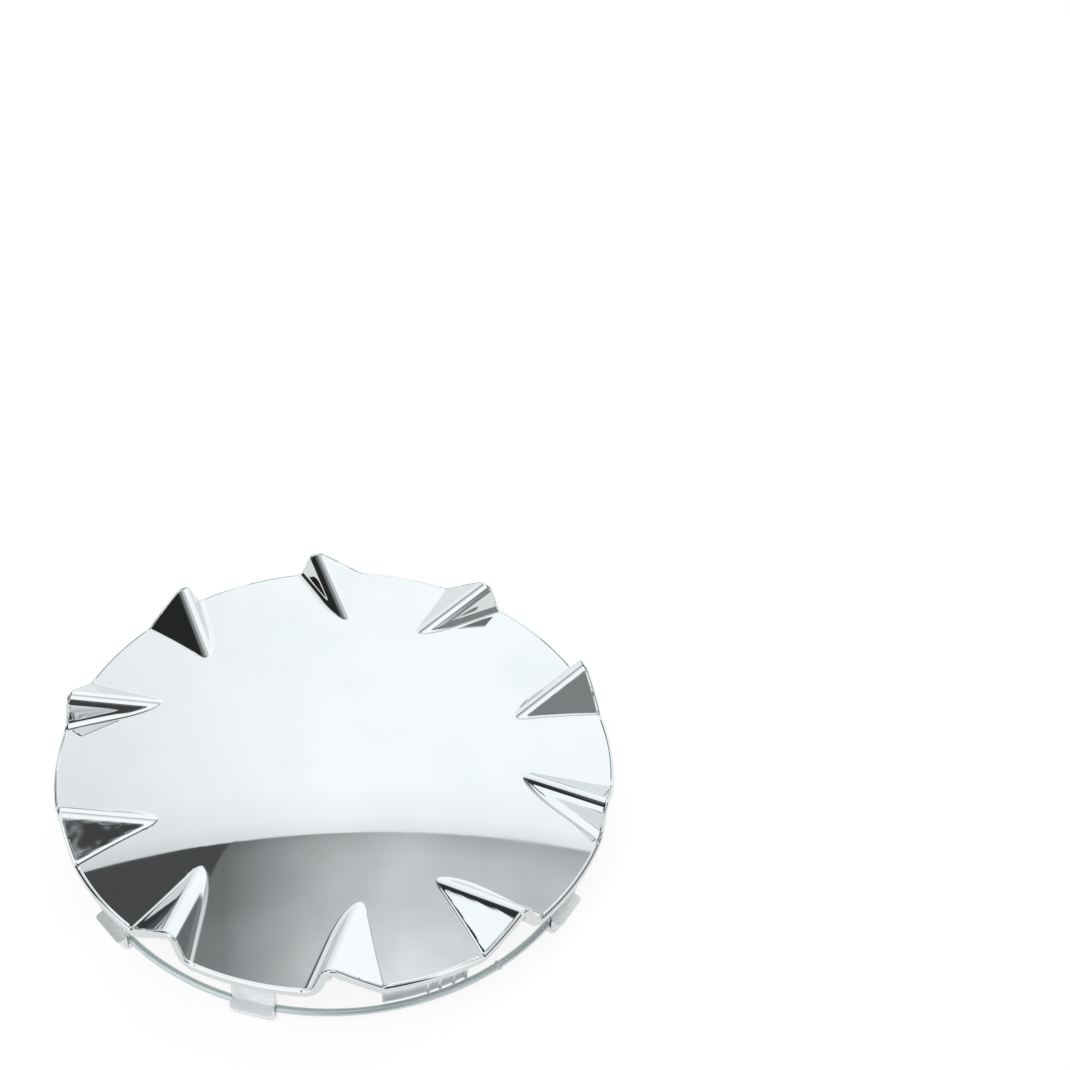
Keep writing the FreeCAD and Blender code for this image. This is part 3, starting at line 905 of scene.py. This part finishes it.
# The mottle: the scale, detail and distortion of its pattern, the part of it that shows, and the
# elevations over which it fades in.
MOTTLE_PATTERN = (48.0, 2.0, 1.5)
MOTTLE_SPREAD = (0.5, 0.68)
MOTTLE_RISE = (42.0, 52.0)

# Least values that a direction is divided by.
LEAST_UP = 0.001
LEAST_AHEAD = 0.05

FLOOR_RADIUS = 3.0
FLOOR_SIDES = 96
FLOOR_DROP = 0.0002

# Name, place, size and power of each lamp.
LAMPS = (
    ("key_lamp", (-0.6, -0.5, 1.6), 1.0, 8.0),
    ("fill_lamp", (0.9, 0.6, 1.3), 1.2, 4.0),
)


def floor_material(look):
    """A pale matt floor that the camera and the plating see partly as plain white."""
    material = bpy.data.materials.new("studio_floor")
    material.use_nodes = True
    kit = NodeKit(material.node_tree)
    shader = kit.nodes["Principled BSDF"]
    shader.inputs["Roughness"].default_value = 0.9
    shader.inputs["Specular IOR Level"].default_value = 0.0
    shader.inputs["Base Color"].default_value = (*look.floor, 1.0)
    glow = kit.nodes.new("ShaderNodeEmission")
    rays = kit.nodes.new("ShaderNodeLightPath")
    seen = kit.maths("MAXIMUM", rays.outputs["Is Camera Ray"], rays.outputs["Is Glossy Ray"])
    mixed = kit.mix_shaders(kit.maths("MULTIPLY", seen, FLOOR_GLOW), shader.outputs["BSDF"],
                            glow.outputs[0])
    kit.link(mixed, kit.nodes["Material Output"].inputs["Surface"])
    return material


def room_light(kit, direction, look):
    """Colour of the room in a direction: pale walls, a dim ceiling, and areas of other tones."""
    turn = math.radians(LOOK_DIRECTION)
    ahead = kit.dot(direction, (math.cos(turn), math.sin(turn), 0.0))
    right = kit.dot(direction, (math.sin(turn), -math.cos(turn), 0.0))
    up = kit.dot(direction, (0.0, 0.0, 1.0))
    over = kit.maths("MAXIMUM", up, LEAST_UP)
    across = kit.maths("DIVIDE", right, over)
    forward = kit.maths("DIVIDE", ahead, over)
    climb = kit.maths("DIVIDE", kit.maths("MAXIMUM", up, 0.0),
                      kit.maths("MAXIMUM", kit.maths("ABSOLUTE", ahead), LEAST_AHEAD))
    compass = kit.maths("MULTIPLY", kit.maths("ARCTAN2", right, ahead), math.degrees(1))
    wall = kit.maths("MULTIPLY", kit.curve(compass, WALL_ACROSS),
                     kit.curve(kit.maths("MULTIPLY", climb, CEILING_EDGE), WALL_TONES))
    ceiling = kit.maths("MULTIPLY", kit.curve(across, CEILING_ACROSS),
                        kit.curve(forward, CEILING_AHEAD))
    darkest, gain, scale, detail = CEILING_CLOUD
    cloud = kit.maths("MULTIPLY", kit.noise(direction, scale, detail), gain)
    ceiling = kit.maths("MULTIPLY", ceiling, kit.maths("ADD", darkest, cloud))
    edge, lean, back, level = SCREEN
    shelf = kit.maths("SUBTRACT", across, kit.maths("MULTIPLY", forward, lean))
    screen = kit.maths("MULTIPLY", kit.step(shelf, edge + SIDE_BLUR, edge - SIDE_BLUR),
                       kit.step(forward, back - BACK_BLUR, back + BACK_BLUR))
    ceiling = kit.mix(screen, ceiling, level)
    ceiling = kit.mix(kit.step(forward, *CEILING_END), ceiling, 1.0)
    tone = kit.mix(kit.step(forward, CEILING_EDGE + FRONT_BLUR, CEILING_EDGE - FRONT_BLUR),
                   wall, ceiling)
    rise = kit.maths("MULTIPLY", kit.maths("ARCSINE", up), math.degrees(1))
    mottled = kit.maths("MULTIPLY", kit.step(rise, *MOTTLE_RISE),
                        kit.step(kit.noise(direction, *MOTTLE_PATTERN), *MOTTLE_SPREAD))
    for start, end, low, high, soft, level, mottle in ROOM_AREAS:
        mask = kit.maths("MULTIPLY", kit.band(compass, start, end, soft),
                         kit.band(rise, low, high, soft))
        area = kit.maths("ADD", kit.maths("MULTIPLY", mottled, mottle), level) if mottle else level
        tone = kit.mix(mask, tone, area)
    return kit.mix(tone, (0.0, 0.0, 0.0, 1.0), (*look.room, 1.0), kind="RGBA")


def build_world(look):
    """A lit room for the plating to mirror; the camera itself sees plain white behind the cap."""
    world = bpy.data.worlds.new("studio_room")
    world.use_nodes = True
    world.node_tree.nodes.clear()
    kit = NodeKit(world.node_tree)
    place = kit.nodes.new("ShaderNodeTexCoord")
    room = kit.nodes.new("ShaderNodeBackground")
    kit.link(room_light(kit, place.outputs["Generated"], look), room.inputs["Color"])
    room.inputs["Strength"].default_value = look.room_light
    white = kit.nodes.new("ShaderNodeBackground")
    white.inputs["Color"].default_value = (1.0, 1.0, 1.0, 1.0)
    rays = kit.nodes.new("ShaderNodeLightPath")
    out = kit.nodes.new("ShaderNodeOutputWorld")
    kit.link(kit.mix_shaders(rays.outputs["Is Camera Ray"], room.outputs[0], white.outputs[0]),
             out.inputs["Surface"])
    bpy.context.scene.world = world


def build_floor(look):
    """A wide level floor just under the leg feet."""
    bm = bmesh.new()
    bmesh.ops.create_circle(bm, cap_ends=True, segments=FLOOR_SIDES, radius=FLOOR_RADIUS)
    bmesh.ops.translate(bm, vec=(0, 0, -FLOOR_DROP), verts=bm.verts)
    mesh = bpy.data.meshes.new("studio_floor")
    bm.to_mesh(mesh)
    bm.free()
    floor = bpy.data.objects.new("studio_floor", mesh)
    bpy.context.scene.collection.objects.link(floor)
    floor.data.materials.append(floor_material(look))


def build_lamp(name, place, size, power):
    """A square lamp that points at the cap."""
    light = bpy.data.lights.new(name, "AREA")
    light.shape = "SQUARE"
    light.size = size
    light.energy = power
    lamp = bpy.data.objects.new(name, light)
    lamp.location = place
    lamp.rotation_euler = (-Vector(place)).to_track_quat("-Z", "Y").to_euler()
    lamp.visible_glossy = False
    bpy.context.scene.collection.objects.link(lamp)


def build_camera():
    """The camera where the photograph was taken from. The shift frames the cap at lower left."""
    data = bpy.data.cameras.new("photo_camera")
    data.sensor_width = 36.0
    data.lens = 59.853
    data.shift_x = 0.18886
    data.shift_y = 0.21072
    data.clip_start = 0.01
    data.clip_end = 20.0
    camera = bpy.data.objects.new("photo_camera", data)
    camera.location = (-0.129303, -0.403028, 0.500198)
    camera.rotation_euler = Euler((math.radians(41.60815), math.radians(1.55252),
                                   math.radians(-19.53513)), "XYZ")
    bpy.context.scene.collection.objects.link(camera)
    bpy.context.scene.camera = camera


class CAP_OT_shell(bpy.types.Operator):
    """Build the domed shell with its ten ridges"""
    bl_idname = "wheel_cap.shell"
    bl_label = "Shell"

    def execute(self, context):
        scene = context.scene
        finish_piece(make_shell(scene.cap_shell), "cap_shell", ["cap"],
                     plating_material(scene.cap_look))
        return {"FINISHED"}


class CAP_OT_posts(bpy.types.Operator):
    """Build the snap legs, the collar segments, the ribs, the fin and the teeth"""
    bl_idname = "wheel_cap.posts"
    bl_label = "Legs and collars"

    def execute(self, context):
        scene = context.scene
        piece = finish_piece(make_posts(scene.cap_shell, scene.cap_posts, scene.cap_ring),
                             "cap_posts", ["cap"], satin_material(scene.cap_look))
        soft = piece.modifiers.new("soft_edges", "BEVEL")
        soft.width = scene.cap_posts.soft_edge
        soft.segments = SOFT_EDGE_STEPS
        soft.limit_method = "ANGLE"
        soft.angle_limit = math.radians(SOFT_EDGE_ANGLE)
        soft.harden_normals = True
        return {"FINISHED"}


class CAP_OT_ring(bpy.types.Operator):
    """Build the spring-wire ring with its bead"""
    bl_idname = "wheel_cap.ring"
    bl_label = "Wire ring"

    def execute(self, context):
        scene = context.scene
        finish_piece(make_ring(scene.cap_ring), "wire_ring", ["retaining_ring"],
                     wire_material(scene.cap_look))
        return {"FINISHED"}


class CAP_OT_stage(bpy.types.Operator):
    """Build the floor, the room, the lamps and the camera"""
    bl_idname = "wheel_cap.stage"
    bl_label = "Stage"

    def execute(self, context):
        look = context.scene.cap_look
        build_floor(look)
        build_world(look)
        for lamp in LAMPS:
            build_lamp(*lamp)
        build_camera()
        context.scene.view_settings.view_transform = "Standard"
        return {"FINISHED"}


class CAP_PT_panel(bpy.types.Panel):
    """Lists the steps that build the cap"""
    bl_label = "Wheel centre cap"
    bl_idname = "CAP_PT_panel"
    bl_space_type = "VIEW_3D"
    bl_region_type = "UI"
    bl_category = "Wheel cap"

    def draw(self, context):
        for operator in (CAP_OT_shell, CAP_OT_posts, CAP_OT_ring, CAP_OT_stage):
            self.layout.operator(operator.bl_idname)


SETTINGS = (
    ("cap_shell", ShellSizes),
    ("cap_posts", PostSizes),
    ("cap_ring", RingSizes),
    ("cap_look", LookSettings),
)
CLASSES = (CAP_OT_shell, CAP_OT_posts, CAP_OT_ring, CAP_OT_stage, CAP_PT_panel)


def register():
    for name, group in SETTINGS:
        bpy.utils.register_class(group)
        setattr(bpy.types.Scene, name, PointerProperty(type=group))
    for item in CLASSES:
        bpy.utils.register_class(item)


def unregister():
    for item in reversed(CLASSES):
        bpy.utils.unregister_class(item)
    for name, group in reversed(SETTINGS):
        delattr(bpy.types.Scene, name)
        bpy.utils.unregister_class(group)


def main():
    register()
    bpy.ops.wheel_cap.shell()
    bpy.ops.wheel_cap.posts()
    bpy.ops.wheel_cap.ring()
    bpy.ops.wheel_cap.stage()


if __name__ == "__main__":
    main()
